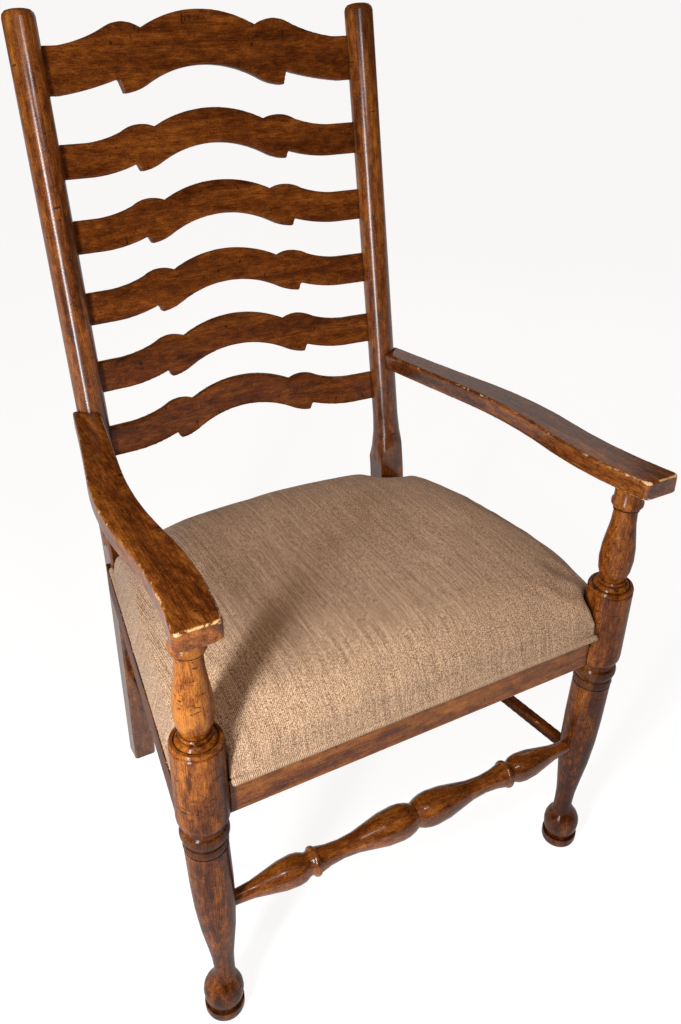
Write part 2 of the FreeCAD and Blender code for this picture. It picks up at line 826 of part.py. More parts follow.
def seat_form(skin):
    """Crowned cushion form, drawn in at the bottom and at its corners; skin is cut off all over."""
    crown_rise = seat_height - seat_edge_height
    sections = [(seat_tuck, seat_tuck, 0, 0)]
    for step in range(seat_crown_steps + 1):
        angle = math.pi / 2 * step / seat_crown_steps
        inset = seat_crown_inset * (1 - math.cos(angle))
        draw = inset + seat_corner_draw * math.sin(angle)
        bow = seat_side_bow * math.sin(angle)
        sections.append((inset, draw, bow, seat_edge_height + crown_rise * math.sin(angle)))
    shrink = (seat_height - 2 * skin) / seat_height
    low = cover_bottom + skin
    rings = []
    for inset, draw, bow, height in sections:
        rings.append(seat_outline(skin + inset, skin + draw, bow, low + height * shrink))
    faces = [flat_face(rings[0]), flat_face(rings[-1])]
    for under, over in zip(rings, rings[1:]):
        for index in range(len(under)):
            faces.append(flat_face([under[index - 1], under[index], over[index]]))
            faces.append(flat_face([under[index - 1], over[index], over[index - 1]]))
    shell = Part.makeShell(faces)
    shell.sewShape()
    return Part.makeSolid(shell)


def seat_slab(inset, bottom, thickness):
    return flat_face(seat_outline(inset, inset, 0, bottom)).extrude(V(0, 0, thickness))


def seat_welts():
    """Straight runs of covered cord along the bottom edge of the seat."""
    names = ["front_welt", "right_welt", "rear_welt", "left_welt"]
    level = cover_bottom + welt_radius
    sides = seat_sides(welt_inset)
    notches = seat_notches(0)
    welts = {}
    for index, name in enumerate(names):
        point, run = sides[index]
        ends = []
        for notch, sign in ((notches[index - 1], 1), (notches[index], -1)):
            meeting = corner_centre(sides[index], notch, 0, sign)
            ends.append(meeting + run * (sign * welt_end_gap) + V(0, 0, level))
        welts[name] = rod(ends[0], ends[1], welt_radius)
    return welts


def build():
    """All pieces of the chair by node name."""
    pieces = {}

    post = back_post()
    posts = [mirrored(post), post]
    leg = front_leg_blank()
    arm = arm_blank()
    leg = leg.cut(arm).fuse(leg_tenon()).removeSplitter()
    legs = [mirrored(leg), leg]

    slats = {}
    for index in range(slat_count):
        slats["ladder_slat_%d" % (index + 1)] = lower_slat(first_slat_height + index * slat_pitch)
    slats["crest_slat"] = crest_slat(first_slat_height + slat_count * slat_pitch + crest_gap)

    rail = (rail_thickness, rail_bottom, rail_height)
    rail_tenon_height = rail_height - 2 * rail_tenon_shoulder
    drum_gap = drum_radius - rail_tenon_length
    cross_tenon = (rail_tenon_thickness, rail_tenon_height, drum_gap, drum_gap)
    front_rail = trimmed_bar(V(-half_legs, 0, 0), V(half_legs, 0, 0), legs, rail, cross_tenon)
    back_rail_y = rear_leg_y(rail_middle) - back_rail_forward
    post_gap = rear_leg_width / 2 - rail_tenon_length
    back_tenon = (rail_tenon_thickness, rail_tenon_height, post_gap, post_gap)
    back_rail = trimmed_bar(V(-half_posts, back_rail_y, 0), V(half_posts, back_rail_y, 0), posts,
                            rail, back_tenon)
    side_tenon = (rail_tenon_thickness, rail_tenon_height, drum_gap / 2, post_gap)
    side_rail = trimmed_bar(*side_rail_line(), [leg, post], rail, side_tenon)

    bar = (bar_thickness, bar_level - bar_height / 2, bar_height)
    shin_x = half_legs - shin_inset(bar_level)
    bar_gap = shin_radius - bar_tenon_length
    bar_tenon = (bar_tenon_thickness, bar_tenon_height, bar_gap, bar_gap)
    bar_y = rear_leg_y(bar_level)
    bar_x = half_posts - bar_rear_inset
    side_bar = trimmed_bar(V(shin_x, 0, 0), V(bar_x, bar_y, 0), [leg, post], bar, bar_tenon)
    rear_bar = trimmed_bar(V(-half_posts, bar_y, 0), V(half_posts, bar_y, 0), posts, bar, bar_tenon)
    shin_face = half_legs - shin_inset(front_stretcher_height) - shin_radius
    stretcher = turned_stretcher(shin_face)
    for support in legs:
        stretcher = stretcher.cut(support)
    peg_end = V(shin_face + stretcher_tenon_length, 0, front_stretcher_height)
    peg = rod(V(-peg_end.x, 0, peg_end.z), peg_end, stretcher_tenon_radius)
    stretcher = stretcher.fuse(peg).removeSplitter()

    dowel = arm_dowel()
    arm = arm.cut(post).cut(leg_tenon()).cut(dowel)
    for member in [front_rail, side_rail, side_bar, stretcher]:
        leg = leg.cut(member)
    for member in list(slats.values()) + [back_rail, side_rail, side_bar, rear_bar, dowel]:
        post = post.cut(member)

    front_face = rail_thickness / 2
    back_face = back_rail_y - rail_thickness / 2
    drum_relief = drum_radius + block_relief
    post_relief = rear_leg_width / 2 + rear_leg_inset + block_relief
    blocks = []
    rail_screws = []
    seat_screws = []
    for y_face, direction, relief in ((front_face, 1, drum_relief), (back_face, -1, post_relief)):
        block = corner_block(y_face, direction, relief)
        for point, heading in block_screws(y_face, direction):
            fastener = screw(point, heading, screw_length)
            rail_screws.append(fastener)
            block = block.cut(fastener).cut(head_well(point, heading))
            side_rail = side_rail.cut(fastener)
            front_rail = front_rail.cut(fastener).cut(mirrored(fastener))
            back_rail = back_rail.cut(fastener).cut(mirrored(fastener))
        upright = seat_screw(y_face, direction)
        seat_screws.append(upright)
        blocks.append(block.cut(upright))

    board = seat_slab(board_inset, board_bottom, board_thickness)
    welts = seat_welts()
    filling = seat_form(cover_thickness)
    cover = seat_form(0).cut(filling)
    cover = cover.cut(seat_slab(cover_return, cover_bottom - cover_thickness, 2 * cover_thickness))
    for cord in welts.values():
        cover = cover.cut(cord)
    foam = filling.cut(board)
    dust_cover = seat_slab(cover_return + dust_cover_gap, board_bottom - dust_cover_thickness,
                           dust_cover_thickness)
    both_seat_screws = seat_screws + [mirrored(each) for each in seat_screws]
    for upright in both_seat_screws:
        board = board.cut(upright)
        cover = cover.cut(upright)
        dust_cover = dust_cover.cut(upright)

    for side, turn in (("right", lambda shape: shape), ("left", mirrored)):
        pieces[side + "_back_post"] = turn(post)
        pieces[side + "_front_leg"] = turn(leg)
        pieces[side + "_arm"] = turn(arm)
        pieces[side + "_seat_rail"] = turn(side_rail)
        pieces[side + "_stretcher"] = turn(side_bar)
        pieces[side + "_front_corner_block"] = turn(blocks[0])
        pieces[side + "_rear_corner_block"] = turn(blocks[1])
    pieces.update(slats)
    pieces["front_seat_rail"] = front_rail
    pieces["back_seat_rail"] = back_rail
    pieces["front_stretcher"] = stretcher
    pieces["rear_stretcher"] = rear_bar
    pieces["seat_board"] = board
    pieces["seat_foam"] = foam
    pieces["seat_cover"] = cover
    pieces.update(welts)
    pieces["dust_cover"] = dust_cover
    pieces["arm_dowels"] = Part.makeCompound([dowel, mirrored(dowel)])
    pieces["corner_block_screws"] = Part.makeCompound(rail_screws + [mirrored(each) for each in rail_screws])
    pieces["seat_screws"] = Part.makeCompound(both_seat_screws)
    return pieces


def main():
    os.makedirs("parts", exist_ok=True)
    pieces = build()
    bounds = FreeCAD.BoundBox()
    for shape in pieces.values():
        bounds.add(shape.optimalBoundingBox(False, False))
    to_origin = V(0, -bounds.Center.y, 0)
    print("box", bounds, "shift", to_origin)
    for name, shape in pieces.items():
        placed = shape.translated(to_origin)
        print("%-24s solids %d  volume %.0f  valid %s"
              % (name, len(placed.Solids), placed.Volume, placed.isValid()))
        placed.exportStep("parts/%s.step" % name)


main()
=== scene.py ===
"""Looks of the ladder back armchair: worn, lacquered wood and a ribbed fabric slip seat.

Metres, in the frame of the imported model: +Z up, +Y towards the back.
"""
import math
from collections import namedtuple

import bmesh
import bpy
from mathutils import Matrix, Vector
from mathutils.bvhtree import BVHTree


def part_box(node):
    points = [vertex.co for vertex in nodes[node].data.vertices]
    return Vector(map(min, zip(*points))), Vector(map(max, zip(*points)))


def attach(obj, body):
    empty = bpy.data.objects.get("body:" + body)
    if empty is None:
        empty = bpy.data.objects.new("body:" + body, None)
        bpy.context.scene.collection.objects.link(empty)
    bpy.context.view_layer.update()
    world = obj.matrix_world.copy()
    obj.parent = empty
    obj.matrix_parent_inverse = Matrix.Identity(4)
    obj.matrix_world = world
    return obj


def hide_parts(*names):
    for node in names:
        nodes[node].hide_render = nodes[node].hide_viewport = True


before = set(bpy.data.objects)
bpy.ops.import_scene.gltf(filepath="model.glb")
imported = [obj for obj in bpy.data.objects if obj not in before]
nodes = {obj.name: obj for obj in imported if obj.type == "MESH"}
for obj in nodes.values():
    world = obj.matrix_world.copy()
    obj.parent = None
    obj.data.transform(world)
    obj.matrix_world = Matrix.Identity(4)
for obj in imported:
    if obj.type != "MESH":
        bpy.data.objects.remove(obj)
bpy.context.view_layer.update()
scene = bpy.context.scene

# Camera, found from the photograph's perspective
CAMERA_PLACE = Vector((-0.5127, -0.9785, 1.2090))
CAMERA_FORWARD = Vector((0.4219, 0.7414, -0.5219))
CAMERA_RIGHT = Vector((0.869, -0.493, 0.016))
CAMERA_LENS_MM = 32.57
CAMERA_SENSOR_MM = 36.0

# Light
LAMP_AIM = Vector((0.0, 0.0, 0.55))
WORLD_COLOUR = (1.0, 0.60, 0.32)
WORLD_LEVEL = 0.18
KEY_PLACE = Vector((-1.04, -0.88, 0.98))
KEY_SIZE = (0.12, 1.25)
KEY_WATTS = 23.0
FILL_PLACE = Vector((-0.30, -1.00, 1.80))
FILL_SIZE = (0.16, 0.16)
FILL_WATTS = 3.6
WINDOW_PLACE = Vector((1.74, 1.80, 1.70))
WINDOW_SIZE = (1.2, 1.2)
WINDOW_WATTS = 3.5

# Floor: white to the camera and in reflections, and it keeps a faint shadow
FLOOR_SIZE = 60.0
FLOOR_ALBEDO = 0.40
FLOOR_GLOW = 0.90
FLOOR_SHADE = 0.25

# Meshes
LADDER_SLATS = 5
WELD_DISTANCE = 0.00002
SMOOTH_ANGLE = math.radians(38)
SLAT_VOXEL = 0.0016
SLAT_SMOOTHING = 3
ARM_VOXEL = 0.0015
ARM_SMOOTHING = 2
BAR_VOXEL = 0.0016
BAR_SMOOTHING = 2
CORD_VOXEL = 0.0014
CORD_SMOOTHING = 6
BEAD_STEPS = 64
BEAD_TURNS = 24
ROUND_STEPS = 48
ROUND_DEPTH = 1.0
UNDER_SEAT = 1.0
DOWNWARD = -0.9

# Cushion
CUSHION_VOXEL = 0.005
CUSHION_SMOOTHING = 4
CUSHION_FRAMES = 20
CUSHION_PRESSURE = 4.0
CUSHION_CAP = 0.008
CLOTH_QUALITY = 6
HELD_HEIGHT = 0.008
RECESS_RISE = 0.006
LIP_HEIGHT = 0.010
LIP_REACH = 0.018
LIP_SWELL = 0.005
CALM_STEPS = 14
PRESS_REACH = 0.035
PRESS_POWER = 2.0

# Drums of the front legs and round notches for the posts, which the cushion clears
LEG_X = 0.292
LEG_Y = -0.2895
DRUM_RADIUS = 0.0316
NOTCH_X = 0.2357
NOTCH_Y = 0.1754
NOTCH_RADIUS = 0.029

# Points on the right-hand half to which the filling swells: beside the drum, then along the side
FULL_POINTS = ((0.266, -0.264, 0.484), (0.254, -0.300, 0.470), (0.302, -0.246, 0.468),
               (0.2655, -0.3095, 0.438), (0.3115, -0.262, 0.438),
               (0.250, 0.100, 0.477), (0.262, 0.050, 0.487), (0.275, 0.0, 0.490),
               (0.285, -0.060, 0.490), (0.296, -0.120, 0.488), (0.303, -0.180, 0.482))

# Full round beads of the turnings
Bead = namedtuple("Bead", "place radius reach half_width")
LEG_BEADS = (Bead(place=0.3536, radius=0.0215, reach=0.0076, half_width=0.0116),
             Bead(place=0.3342, radius=0.0210, reach=0.0054, half_width=0.0058))
STRETCHER_HEIGHT = 0.210
STRETCHER_RING = Bead(place=0.1525, radius=0.0165, reach=0.0035, half_width=0.0042)
STRETCHER_BEADS = (STRETCHER_RING._replace(place=-STRETCHER_RING.place), STRETCHER_RING)

# Turns that bring a piece's grain to Z
QUARTER = math.pi / 2
POST_RAKE = math.radians(11.1)
SIDE_SPLAY = math.radians(7.0)
GRAIN_UP = (0, 0, 0)
GRAIN_RAKED = (POST_RAKE, 0, 0)
GRAIN_ACROSS = (0, -QUARTER, 0)
GRAIN_BACK = (QUARTER, 0, 0)
GRAIN_SPLAYED = (QUARTER, 0, SIDE_SPLAY)
GRAIN_INSIDE = (0, QUARTER, 0)

# Places of the Mix node's sockets that share a name
MIX_COLOUR_A = 6
MIX_COLOUR_B = 7
MIX_COLOUR_OUT = 2
MIX_NUMBER_A = 2
MIX_NUMBER_B = 3

OCCLUSION_SAMPLES = 6


class Shader:
    """Small helper that builds a material's node tree."""

    def __init__(self, name):
        self.material = bpy.data.materials.new(name)
        self.material.use_nodes = True
        self.tree = self.material.node_tree
        self.surface = self.tree.nodes["Principled BSDF"]

    def node(self, kind, **settings):
        made = self.tree.nodes.new("ShaderNode" + kind)
        for key, value in settings.items():
            setattr(made, key, value)
        return made

    def feed(self, socket, value):
        if hasattr(value, "is_output"):
            self.tree.links.new(value, socket)
        else:
            socket.default_value = value

    def set(self, name, value):
        self.feed(self.surface.inputs[name], value)

    def place(self):
        return self.node("TexCoord").outputs["Object"]

    def parts(self, vector):
        """X, Y and Z of a vector."""
        made = self.node("SeparateXYZ")
        self.feed(made.inputs[0], vector)
        return made.outputs

    def math(self, operation, first, second=0.0):
        made = self.node("Math", operation=operation)
        self.feed(made.inputs[0], first)
        self.feed(made.inputs[1], second)
        return made.outputs[0]

    def plus(self, first, second):
        return self.math("ADD", first, second)

    def times(self, first, second):
        return self.math("MULTIPLY", first, second)

    def rest(self, value):
        """What is left to 1."""
        return self.math("SUBTRACT", 1.0, value)

    def shifted(self, vector, shift):
        made = self.node("VectorMath", operation="ADD")
        self.feed(made.inputs[0], vector)
        self.feed(made.inputs[1], shift)
        return made.outputs[0]

    def mapping(self, vector, turn=(0, 0, 0), scale=(1, 1, 1)):
        made = self.node("Mapping")
        self.feed(made.inputs["Vector"], vector)
        made.inputs["Rotation"].default_value = turn
        made.inputs["Scale"].default_value = scale
        return made.outputs[0]

    def noise(self, vector, scale, detail=3.0, roughness=0.5, distortion=0.0):
        made = self.node("TexNoise")
        self.feed(made.inputs["Vector"], vector)
        made.inputs["Scale"].default_value = scale
        made.inputs["Detail"].default_value = detail
        made.inputs["Roughness"].default_value = roughness
        made.inputs["Distortion"].default_value = distortion
        return made.outputs["Fac"]

    def step(self, value, low, high):
        """Smooth rise from 0 at low to 1 at high."""
        made = self.node("MapRange", interpolation_type="SMOOTHSTEP")
        self.feed(made.inputs["Value"], value)
        made.inputs["From Min"].default_value = low
        made.inputs["From Max"].default_value = high
        return made.outputs["Result"]

    def blend(self, factor, first, second):
        """Number between first and second."""
        made = self.node("Mix", data_type="FLOAT")
        self.feed(made.inputs["Factor"], factor)
        self.feed(made.inputs[MIX_NUMBER_A], first)
        self.feed(made.inputs[MIX_NUMBER_B], second)
        return made.outputs[0]

    def tint(self, factor, colour, second):
        """Colour turned towards a second, plain one."""
        made = self.node("Mix", data_type="RGBA")
        self.feed(made.inputs["Factor"], factor)
        self.feed(made.inputs[MIX_COLOUR_A], colour)
        self.feed(made.inputs[MIX_COLOUR_B], (*second, 1.0))
        return made.outputs[MIX_COLOUR_OUT]

    def ramp(self, value, stops):
        made = self.node("ValToRGB")
        self.feed(made.inputs[0], value)
        elements = made.color_ramp.elements
        for stop in stops[len(elements):]:
            elements.new(stop[0])
        for element, (place, colour) in zip(elements, stops):
            element.position = place
            element.color = (*colour, 1.0)
        return made.outputs["Color"]

    def openness(self, distance):
        made = self.node("AmbientOcclusion", samples=OCCLUSION_SAMPLES)
        made.inputs["Distance"].default_value = distance
        return made.outputs["AO"]

    def bump(self, height, strength, distance, normal=None):
        made = self.node("Bump")
        self.feed(made.inputs["Height"], height)
        made.inputs["Strength"].default_value = strength
        made.inputs["Distance"].default_value = distance
        if normal:
            self.feed(made.inputs["Normal"], normal)
        return made.outputs["Normal"]


# Stained wood: linear colours, and the tones at which they show
WOOD_DARK = (0.040, 0.0085, 0.0012)
WOOD_BROWN = (0.125, 0.030, 0.0040)
WOOD_RED = (0.25, 0.073, 0.010)
WOOD_GOLD = (0.52, 0.185, 0.030)
WOOD_WORN = (0.96, 0.61, 0.28)
WOOD_GLAZE_AND_SHADE = (0.014, 0.004, 0.001)
WOOD_TONES = ((0.40, WOOD_DARK), (0.47, WOOD_BROWN), (0.53, WOOD_RED), (0.63, WOOD_GOLD))
MIDDLE_TONE = 0.5

# Patterns in the wood: stretch along the grain, waves per metre, their noise, and share of the tone
Grain = namedtuple("Grain", "stretch waves detail roughness distortion share", defaults=(1.0,))
FIGURE = Grain(stretch=0.12, waves=45.0, detail=4.0, roughness=0.55, distortion=0.6, share=0.30)
MOTTLE = Grain(stretch=0.5, waves=110.0, detail=4.0, roughness=0.6, distortion=0.4, share=0.25)
FIBRE = Grain(stretch=0.04, waves=800.0, detail=3.0, roughness=0.6, distortion=0.0, share=0.25)
SPECKS = Grain(stretch=0.35, waves=1100.0, detail=2.0, roughness=0.5, distortion=0.0, share=0.20)
PIECE_SHIFT = (3.0, 5.0, 7.0)

# Turned legs: painted shade on the feet, painted key light on the vases, far more on the left leg, and
# dark glaze round the beads
FOOT_HEIGHTS = (0.10, 0.42)
FOOT_SHADE = 0.06
VASE_PAINTED_LIGHT_HEIGHTS = (0.500, 0.530)
BEAD_GLAZE_HEIGHTS = (0.326, 0.368)
BEAD_GLAZE_FADE = 0.003
BEAD_GLAZE = 0.55

# Glaze in crevices and painted shade where parts close in, and dark nicks in patches, more of them on the
# legs
CREVICE_REACH = 0.010
CREVICE_OPENNESS = (0.35, 0.85)
CREVICE_GLAZE_AND_SHADE = 0.80
NICK_TURN = (0.5, 0.35, 0.0)
NICK_STRETCH = (0.28, 0.28, 1.0)
NICK_WAVES = 300.0
NICK_LEVELS = (0.62, 0.68)
NICK_PATCH_WAVES = 60.0
NICK_PATCH_LEVELS = (0.60, 0.66)
LEG_NICK_PATCH_LEVELS = (0.49, 0.56)
NICK_DARKNESS = 0.85

# Bare wood in patches on sharp edges, more of it towards the arms' front ends
EDGE_SHARPNESS = (0.518, 0.534)
WEAR_WAVES = 110.0
WEAR_DETAIL = 4.0
WEAR_ROUGHNESS = 0.7
WEAR_LEVELS = (0.64, 0.72)
ARM_WEAR_RUN = (-0.22, -0.32)
ARM_WEAR = 0.09

# Lacquer, and bumps by strength and depth
STAIN_ROUGHNESS = 0.36
STAIN_ROUGHNESS_SPREAD = 0.22
STAIN_SPECULAR = 0.02
LACQUER_IOR = 1.8
FIBRE_BUMP = (0.08, 0.0003)
DENT_WAVES = 55.0
DENT_BUMP = (0.10, 0.0015)
NICK_BUMP = (0.35, 0.0006)


def grain(make, spot, pattern):
    stretched = make.mapping(spot, scale=(1, 1, pattern.stretch))
    return make.noise(stretched, pattern.waves, pattern.detail, pattern.roughness, pattern.distortion)


def stained_wood(name, turn, wear=0.0, light=0.0, contrast=1.0, gloss=0.2, gloss_blur=0.19, vase_painted_light=0.0,
                 worn_front=False):
    """Stained, lacquered wood whose grain runs along Z once turned; wear is how much edge shows bare."""
    turned_leg = vase_painted_light > 0
    make = Shader(name)
    place = make.place()
    y, z = make.parts(place)[1:]
    chance = make.node("ObjectInfo").outputs["Random"]
    shift = make.node("CombineXYZ")
    for socket, spread in zip(shift.inputs, PIECE_SHIFT):
        make.feed(socket, make.times(chance, spread))
    spot = make.shifted(make.mapping(place, turn), shift.outputs[0])

    mottle = grain(make, spot, MOTTLE)
    fibre = grain(make, spot, FIBRE)
    tone = MIDDLE_TONE * (1 - contrast) + light
    for pattern, look in ((grain(make, spot, FIGURE), FIGURE), (mottle, MOTTLE), (fibre, FIBRE),
                          (grain(make, spot, SPECKS), SPECKS)):
        tone = make.plus(tone, make.times(pattern, look.share * contrast))
    if turned_leg:
        # Painted shade: the tone darker towards the feet
        foot = make.rest(make.step(z, *FOOT_HEIGHTS))
        tone = make.math("SUBTRACT", tone, make.times(foot, FOOT_SHADE))
        # Painted key light: the vases lighter and more golden, far more on the left leg than on the right
        vase = make.step(z, *VASE_PAINTED_LIGHT_HEIGHTS)
        tone = make.plus(tone, make.times(vase, vase_painted_light))
    colour = make.ramp(tone, WOOD_TONES)

    dashes = make.noise(make.mapping(spot, NICK_TURN, NICK_STRETCH), NICK_WAVES, detail=1.0)
    patch_levels = LEG_NICK_PATCH_LEVELS if turned_leg else NICK_PATCH_LEVELS
    patches = make.step(make.noise(spot, NICK_PATCH_WAVES, detail=2.0), *patch_levels)
    nicks = make.times(make.step(dashes, *NICK_LEVELS), patches)
    colour = make.tint(make.times(nicks, NICK_DARKNESS), colour, WOOD_GLAZE_AND_SHADE)

    # Darker where nearby surfaces close in: glaze in the turnings' grooves, and painted shade in corners
    # and where parts meet
    crevice = make.rest(make.step(make.openness(CREVICE_REACH), *CREVICE_OPENNESS))
    glaze_and_shade = make.times(crevice, CREVICE_GLAZE_AND_SHADE)
    if turned_leg:
        low, high = BEAD_GLAZE_HEIGHTS
        above = make.step(z, low, low + BEAD_GLAZE_FADE)
        below = make.rest(make.step(z, high - BEAD_GLAZE_FADE, high))
        glaze_and_shade = make.math("MAXIMUM", glaze_and_shade, make.times(make.times(above, below), BEAD_GLAZE))
    colour = make.tint(glaze_and_shade, colour, WOOD_GLAZE_AND_SHADE)

    if wear:
        edge = make.step(make.node("NewGeometry").outputs["Pointiness"], *EDGE_SHARPNESS)
        worn = make.plus(make.noise(spot, WEAR_WAVES, WEAR_DETAIL, WEAR_ROUGHNESS), wear)
        if worn_front:
            worn = make.plus(worn, make.times(make.step(y, *ARM_WEAR_RUN), ARM_WEAR))
        colour = make.tint(make.times(edge, make.step(worn, *WEAR_LEVELS)), colour, WOOD_WORN)
    make.set("Base Color", colour)

    make.set("Roughness", make.plus(STAIN_ROUGHNESS, make.times(mottle, STAIN_ROUGHNESS_SPREAD)))
    make.set("Specular IOR Level", STAIN_SPECULAR)
    make.set("Coat Weight", gloss)
    make.set("Coat Roughness", gloss_blur)
    make.set("Coat IOR", LACQUER_IOR)
    relief = make.bump(fibre, *FIBRE_BUMP)
    relief = make.bump(make.noise(spot, DENT_WAVES, detail=2.0), *DENT_BUMP, relief)
    make.set("Normal", make.bump(make.rest(nicks), *NICK_BUMP, relief))
    return make.material


# Seat fabric: linear colours, and the heights in the weave at which they show
YARN_LIGHT = (0.86, 0.61, 0.416)
YARN_MIDDLE = (0.54, 0.350, 0.219)
YARN_DARK = (0.21, 0.120, 0.066)
YARN_HEIGHTS = ((0.43, YARN_DARK), (0.50, YARN_MIDDLE), (0.57, YARN_LIGHT))
RIBS_PER_METRE = 480.0
RIB_WOBBLE = 2.0
RIB_WOBBLE_WAVES = 60.0
STREAK_STRETCH = 0.03
STREAK_SHARE = 0.24
TUFTS_PER_METRE = 920.0
TUFT_STRETCH = 0.8
TUFT_SHARE = 0.76
YARN_ROUGHNESS = 0.6
SIDE_FACING = (0.62, 0.78)
SHADE_WAVES = 11.0
SHADE_LEVELS = (0.35, 0.7)
SHADE_DEPTH = 0.15
FABRIC_SPECULAR = 0.10
FABRIC_SHEEN = 0.20
FABRIC_SHEEN_ROUGHNESS = 0.5
FABRIC_BUMP = (0.45, 0.0010)
CLOTH_ROUGHNESS = 0.95
SEAT_RIB_DEPTH = 0.035
CORD_RIB_DEPTH = 0.12
ACROSS_X = 0
ACROSS_Y = 1


def drawn_out(axis, stretch):
    """Scale that keeps a pattern along one axis and draws it out along the other two."""
    scale = [stretch, stretch, stretch]
    scale[axis] = 1.0
    return tuple(scale)


def weave(make, place, axis, rib_depth):
    """Height of yarn in ribs that follow one another along an axis."""
    streaks = make.mapping(place, scale=drawn_out(axis, STREAK_STRETCH))
    tufts = make.mapping(place, scale=drawn_out(axis, TUFT_STRETCH))
    wobble = make.times(make.noise(place, RIB_WOBBLE_WAVES, detail=2.0), RIB_WOBBLE)
    turn = make.times(make.parts(place)[axis], RIBS_PER_METRE * 2 * math.pi)
    height = make.times(make.math("SINE", make.plus(turn, wobble)), rib_depth)
    yarn = make.noise(streaks, RIBS_PER_METRE, detail=3.0, roughness=YARN_ROUGHNESS)
    height = make.plus(height, make.times(yarn, STREAK_SHARE))
    tuft = make.noise(tufts, TUFTS_PER_METRE, detail=2.0, roughness=YARN_ROUGHNESS)
    return make.plus(height, make.times(tuft, TUFT_SHARE))


def fabric(name, across, rib_depth):
    """Ribbed chenille whose ribs follow one another along the axis across, and on the sides along Y."""
    make = Shader(name)
    place = make.place()
    height = weave(make, place, across, rib_depth)
    if across == ACROSS_X:
        facing = make.parts(make.node("NewGeometry").outputs["Normal"])[0]
        side = make.step(make.math("ABSOLUTE", facing), *SIDE_FACING)
        height = make.blend(side, height, weave(make, place, ACROSS_Y, rib_depth))
    shade = make.step(make.noise(place, SHADE_WAVES), *SHADE_LEVELS)
    colour = make.ramp(height, YARN_HEIGHTS)
    make.set("Base Color", make.tint(make.times(shade, SHADE_DEPTH), colour, YARN_DARK))
    make.set("Roughness", CLOTH_ROUGHNESS)
    make.set("Specular IOR Level", FABRIC_SPECULAR)
    make.set("Sheen Weight", FABRIC_SHEEN)
    make.set("Sheen Roughness", FABRIC_SHEEN_ROUGHNESS)
    make.set("Normal", make.bump(height, *FABRIC_BUMP))
    return make.material


# Materials inside and under the seat: linear colours, and the tones at which they show
BLOCK_TONES = ((0.35, (0.36, 0.22, 0.11)), (0.65, (0.52, 0.36, 0.20)))
PLYWOOD_TONES = ((0.35, (0.44, 0.31, 0.18)), (0.65, (0.60, 0.45, 0.28)))
PLAIN_FIBRE = Grain(stretch=0.05, waves=300.0, detail=4.0, roughness=0.6, distortion=0.0, share=0.5)
PLAIN_BANDS = Grain(stretch=0.15, waves=60.0, detail=3.0, roughness=0.5, distortion=0.0, share=0.5)
PLAIN_ROUGHNESS = 0.75
PLAIN_BUMP = (0.2, 0.0004)
ZINC_TONES = ((0.3, (0.32, 0.32, 0.31)), (0.7, (0.62, 0.61, 0.58)))
ZINC_SCUFF = Grain(stretch=0.2, waves=900.0, detail=3.0, roughness=0.5, distortion=0.0)
ZINC_ROUGHNESS = 0.25
ZINC_ROUGHNESS_SPREAD = 0.25
FELT_TONES = ((0.35, (0.008, 0.008, 0.009)), (0.7, (0.035, 0.034, 0.033)))
FELT_WAVES = 700.0
FELT_DETAIL = 4.0
FELT_ROUGHNESS = 0.7
FELT_BUMP = (0.4, 0.0006)


def plain_wood(name, tones):
    """Unfinished wood for the pieces inside the seat frame."""
    make = Shader(name)
    spot = make.mapping(make.place(), GRAIN_INSIDE)
    fibre = grain(make, spot, PLAIN_FIBRE)
    bands = grain(make, spot, PLAIN_BANDS)
    tone = make.plus(make.times(fibre, PLAIN_FIBRE.share), make.times(bands, PLAIN_BANDS.share))
    make.set("Base Color", make.ramp(tone, tones))
    make.set("Roughness", PLAIN_ROUGHNESS)
    make.set("Normal", make.bump(fibre, *PLAIN_BUMP))
    return make.material


def steel(name):
    """Zinc plated screws with fine scuffs."""
    make = Shader(name)
    scuff = grain(make, make.place(), ZINC_SCUFF)
    make.set("Base Color", make.ramp(scuff, ZINC_TONES))
    make.set("Metallic", 1.0)
    make.set("Roughness", make.plus(ZINC_ROUGHNESS, make.times(scuff, ZINC_ROUGHNESS_SPREAD)))
    return make.material


def dust_cloth(name):
    """Black felted cloth under the seat."""
    make = Shader(name)
    felt = make.noise(make.place(), FELT_WAVES, FELT_DETAIL, FELT_ROUGHNESS)
    make.set("Base Color", make.ramp(felt, FELT_TONES))
    make.set("Roughness", CLOTH_ROUGHNESS)
    make.set("Normal", make.bump(felt, *FELT_BUMP))
    return make.material


# The left leg's vases carry much more painted key light than the right leg's
wood_left_leg = stained_wood("stained_wood_left_leg", GRAIN_UP, light=0.006, contrast=1.1, gloss=0.22,
                             vase_painted_light=0.085)
wood_right_leg = stained_wood("stained_wood_right_leg", GRAIN_UP, light=0.005, gloss=0.22, vase_painted_light=0.015)
wood_post = stained_wood("stained_wood_post", GRAIN_RAKED, light=-0.015, gloss=0.6, gloss_blur=0.24)
wood_slat = stained_wood("stained_wood_slat", GRAIN_ACROSS, light=-0.035, contrast=0.7)
wood_across = stained_wood("stained_wood_across", GRAIN_ACROSS, wear=0.05, light=0.02, gloss=0.3)
wood_stretcher = stained_wood("stained_wood_stretcher", GRAIN_ACROSS, light=0.005, contrast=0.9, gloss=0.5)
wood_left_arm = stained_wood("stained_wood_left_arm", GRAIN_BACK, wear=0.08, gloss=0.4, worn_front=True)
# The right arm's wood is toned darker than the left arm's: painted shade
wood_right_arm_shaded = stained_wood("stained_wood_right_arm", GRAIN_BACK, wear=0.08, light=-0.03, gloss=0.5,
                              worn_front=True)
